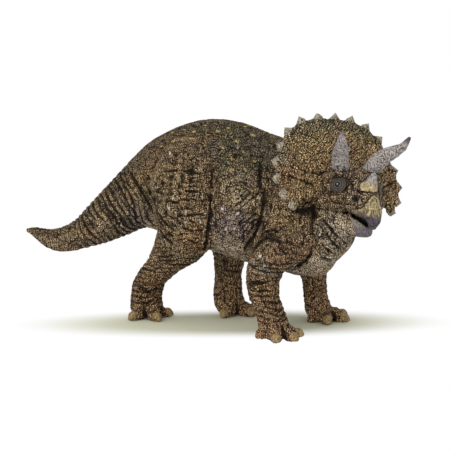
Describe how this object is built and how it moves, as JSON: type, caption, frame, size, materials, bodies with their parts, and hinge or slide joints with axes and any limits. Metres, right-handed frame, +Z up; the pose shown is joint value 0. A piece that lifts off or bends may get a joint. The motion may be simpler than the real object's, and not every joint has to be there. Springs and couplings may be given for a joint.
{
  "type": "toy dinosaur figure",
  "caption": "Realistic moulded toy figure of a horned dinosaur in mid stride, its head turned aside, with a studded neck frill, brow horns, a nose horn, a hooked beak and a curved tail.",
  "frame": {"origin": "on the floor under the middle of the figure's outline", "axes": "+X towards the head along the body, +Y to the animal's left, +Z up"},
  "size_m": [0.2116, 0.0726, 0.1096],
  "materials": {
    "skin": "painted vinyl, dark olive brown skin with dry-brushed ochre scales",
    "horn": "painted vinyl, pale grey horn",
    "beak": "painted vinyl, grey-olive horn"
  },
  "bodies": {
    "root": {"trunk": "skin", "tail": "skin", "head": "skin", "lower_jaw": "beak", "brow_horn_right": "horn", "brow_horn_left": "horn", "hind_leg_right": "skin", "hind_leg_left": "skin", "foreleg_right": "skin", "foreleg_left": "skin"}
  },
  "joints": []
}
